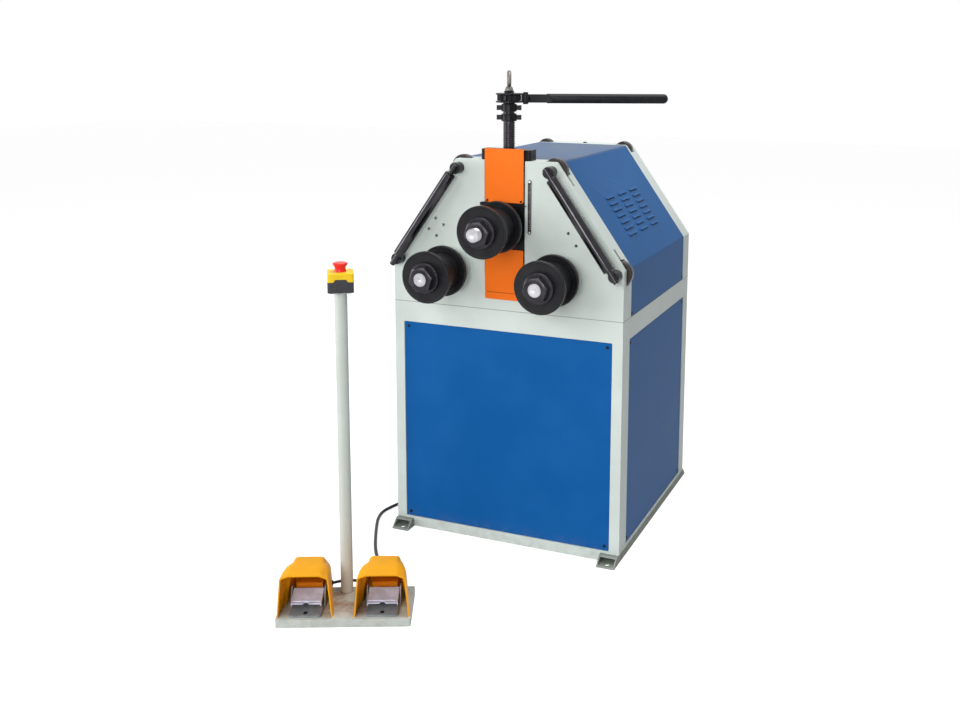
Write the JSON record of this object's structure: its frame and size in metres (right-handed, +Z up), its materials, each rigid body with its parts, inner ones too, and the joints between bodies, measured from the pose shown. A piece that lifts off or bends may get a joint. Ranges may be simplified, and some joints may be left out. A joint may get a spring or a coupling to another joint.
{
  "type": "tube bender",
  "caption": "Floor-standing three-roll tube and section bender with ratchet screw adjustment, support rollers and a wired pedal stand with stop button.",
  "frame": {"origin": "centre of the four floor anchor holes, at floor level", "axes": "+X to the right seen from the front, +Y to the back, +Z up"},
  "size_m": [0.8187, 1.3172, 1.2859],
  "materials": {
    "frame_paint": "light grey satin enamel",
    "blue_paint": "deep blue fine-texture enamel",
    "orange_paint": "orange satin enamel",
    "black_steel": "blackened, lightly oiled",
    "bright_steel": "turned bright",
    "zinc_plate": "zinc plated, dull",
    "gearbox_cast": "sand cast",
    "motor_paint": "grey-blue enamel",
    "yellow_plastic": "moulded, fine texture",
    "dark_plastic": "moulded, matt",
    "red_plastic": "smooth",
    "cable_rubber": "matt sheath"
  },
  "bodies": {
    "root": {"cabinet_frame": "frame_paint", "skids": "frame_paint", "front_panel": "blue_paint", "rear_panel": "blue_paint", "side_panels": "blue_paint", "panel_screws": "black_steel", "front_head": "frame_paint", "rear_head": "frame_paint", "upper_cover": "blue_paint", "slide_guides": "black_steel", "crosshead": "black_steel", "bearing_plate": "bright_steel", "shaft_bearings": "bright_steel", "gearbox": "gearbox_cast", "drive_motor": "motor_paint", "depth_scale": "black_steel", "roller_pins": "black_steel", "pedal_stand": "frame_paint", "stop_box": "dark_plastic", "stop_box_lid": "yellow_plastic", "pedal_hoods": "yellow_plastic", "pedal_bases": "zinc_plate", "cable_glands": "dark_plastic", "pedal_link_cable": "cable_rubber", "pedal_cable": "cable_rubber"},
    "left_roll": {"left_roll_shaft": "bright_steel", "left_roll_core": "black_steel", "left_roll_discs": "black_steel", "left_roll_nut": "black_steel", "left_drive_gear": "bright_steel"},
    "right_roll": {"right_roll_shaft": "bright_steel", "right_roll_core": "black_steel", "right_roll_discs": "black_steel", "right_roll_nut": "black_steel", "right_drive_gear": "bright_steel"},
    "pinion": {"drive_pinion": "bright_steel"},
    "slide": {"roll_slide": "black_steel", "slide_covers": "orange_paint", "depth_pointer": "black_steel"},
    "top_roll": {"top_roll_shaft": "bright_steel", "top_roll_core": "black_steel", "top_roll_discs": "black_steel", "top_roll_nut": "black_steel"},
    "spindle": {"lift_spindle": "black_steel", "stop_nuts": "black_steel", "ratchet_wheel": "black_steel", "lifting_eye": "bright_steel"},
    "lever": {"ratchet_head": "black_steel", "ratchet_lever": "black_steel"},
    "left_support": {"left_support_roller": "black_steel"},
    "right_support": {"right_support_roller": "black_steel"},
    "front_left_top": {"front_left_top_roller": "black_steel"},
    "front_right_top": {"front_right_top_roller": "black_steel"},
    "front_left_low": {"front_left_low_roller": "black_steel"},
    "front_right_low": {"front_right_low_roller": "black_steel"},
    "rear_left": {"rear_left_roller": "black_steel"},
    "rear_right": {"rear_right_roller": "black_steel"},
    "left_pedal": {"left_treadle": "zinc_plate"},
    "right_pedal": {"right_treadle": "zinc_plate"},
    "button": {"stop_button": "red_plastic"}
  },
  "joints": [
    {"name": "left_roll_spin", "type": "hinge", "parent": "root", "child": "left_roll", "pos_m": [-0.1575, -0.19, 0.7575], "axis": [0, 1, 0], "continuous": true},
    {"name": "right_roll_spin", "type": "hinge", "parent": "root", "child": "right_roll", "pos_m": [0.1575, -0.19, 0.7575], "axis": [0, 1, 0], "continuous": true},
    {"name": "pinion_spin", "type": "hinge", "parent": "root", "child": "pinion", "pos_m": [0, -0.19, 0.7575], "axis": [0, 1, 0], "continuous": true},
    {"name": "slide_travel", "type": "slide", "parent": "root", "child": "slide", "axis": [0, 0, 1], "range_m": [-0.06, 0.06]},
    {"name": "top_roll_spin", "type": "hinge", "parent": "slide", "child": "top_roll", "pos_m": [0, -0.328, 0.8854], "axis": [0, 1, 0], "continuous": true},
    {"name": "spindle_spin", "type": "hinge", "parent": "slide", "child": "spindle", "pos_m": [0, -0.2994, 0.985], "axis": [0, 0, 1], "range_deg": [-3605, 3605]},
    {"name": "lever_swing", "type": "hinge", "parent": "spindle", "child": "lever", "pos_m": [0, -0.2994, 1.2135], "axis": [0, 0, 1], "continuous": true},
    {"name": "left_support_spin", "type": "hinge", "parent": "root", "child": "left_support", "pos_m": [-0.1315, -0.359, 1.03], "axis": [-0.5742, 0, -0.8187], "continuous": true},
    {"name": "right_support_spin", "type": "hinge", "parent": "root", "child": "right_support", "pos_m": [0.1315, -0.359, 1.03], "axis": [0.5742, 0, -0.8187], "continuous": true},
    {"name": "front_left_top_spin", "type": "hinge", "parent": "root", "child": "front_left_top", "pos_m": [-0.1315, -0.295, 1.03], "axis": [0, 1, 0], "continuous": true},
    {"name": "front_right_top_spin", "type": "hinge", "parent": "root", "child": "front_right_top", "pos_m": [0.1315, -0.295, 1.03], "axis": [0, 1, 0], "continuous": true},
    {"name": "front_left_low_spin", "type": "hinge", "parent": "root", "child": "front_left_low", "pos_m": [-0.3107, -0.295, 0.7745], "axis": [0, 1, 0], "continuous": true},
    {"name": "front_right_low_spin", "type": "hinge", "parent": "root", "child": "front_right_low", "pos_m": [0.3107, -0.295, 0.7745], "axis": [0, 1, 0], "continuous": true},
    {"name": "rear_left_spin", "type": "hinge", "parent": "root", "child": "rear_left", "pos_m": [-0.127, 0.295, 1.036], "axis": [0, 1, 0], "continuous": true},
    {"name": "rear_right_spin", "type": "hinge", "parent": "root", "child": "rear_right", "pos_m": [0.127, 0.295, 1.036], "axis": [0, 1, 0], "continuous": true},
    {"name": "left_pedal_press", "type": "hinge", "parent": "root", "child": "left_pedal", "pos_m": [-0.28204, -0.8497, 0.052], "axis": [0.9107, 0.4131, 0], "range_deg": [0, 6], "stiffness_Nm_per_rad": 4, "springref_deg": -8.59},
    {"name": "right_pedal_press", "type": "hinge", "parent": "root", "child": "right_pedal", "pos_m": [-0.11811, -0.77534, 0.052], "axis": [0.9107, 0.4131, 0], "range_deg": [0, 6], "stiffness_Nm_per_rad": 4, "springref_deg": -8.59},
    {"name": "stop_button_press", "type": "slide", "parent": "root", "child": "button", "axis": [0, 0, -1], "range_m": [0, 0.004], "stiffness_N_per_m": 900, "springref_m": -0.002}
  ],
  "couplings": [
    {"joint": "right_roll_spin", "follows": "left_roll_spin", "ratio": 1},
    {"joint": "pinion_spin", "follows": "left_roll_spin", "ratio": -2},
    {"joint": "spindle_spin", "follows": "slide_travel", "rad_per_m": 1047.2}
  ]
}
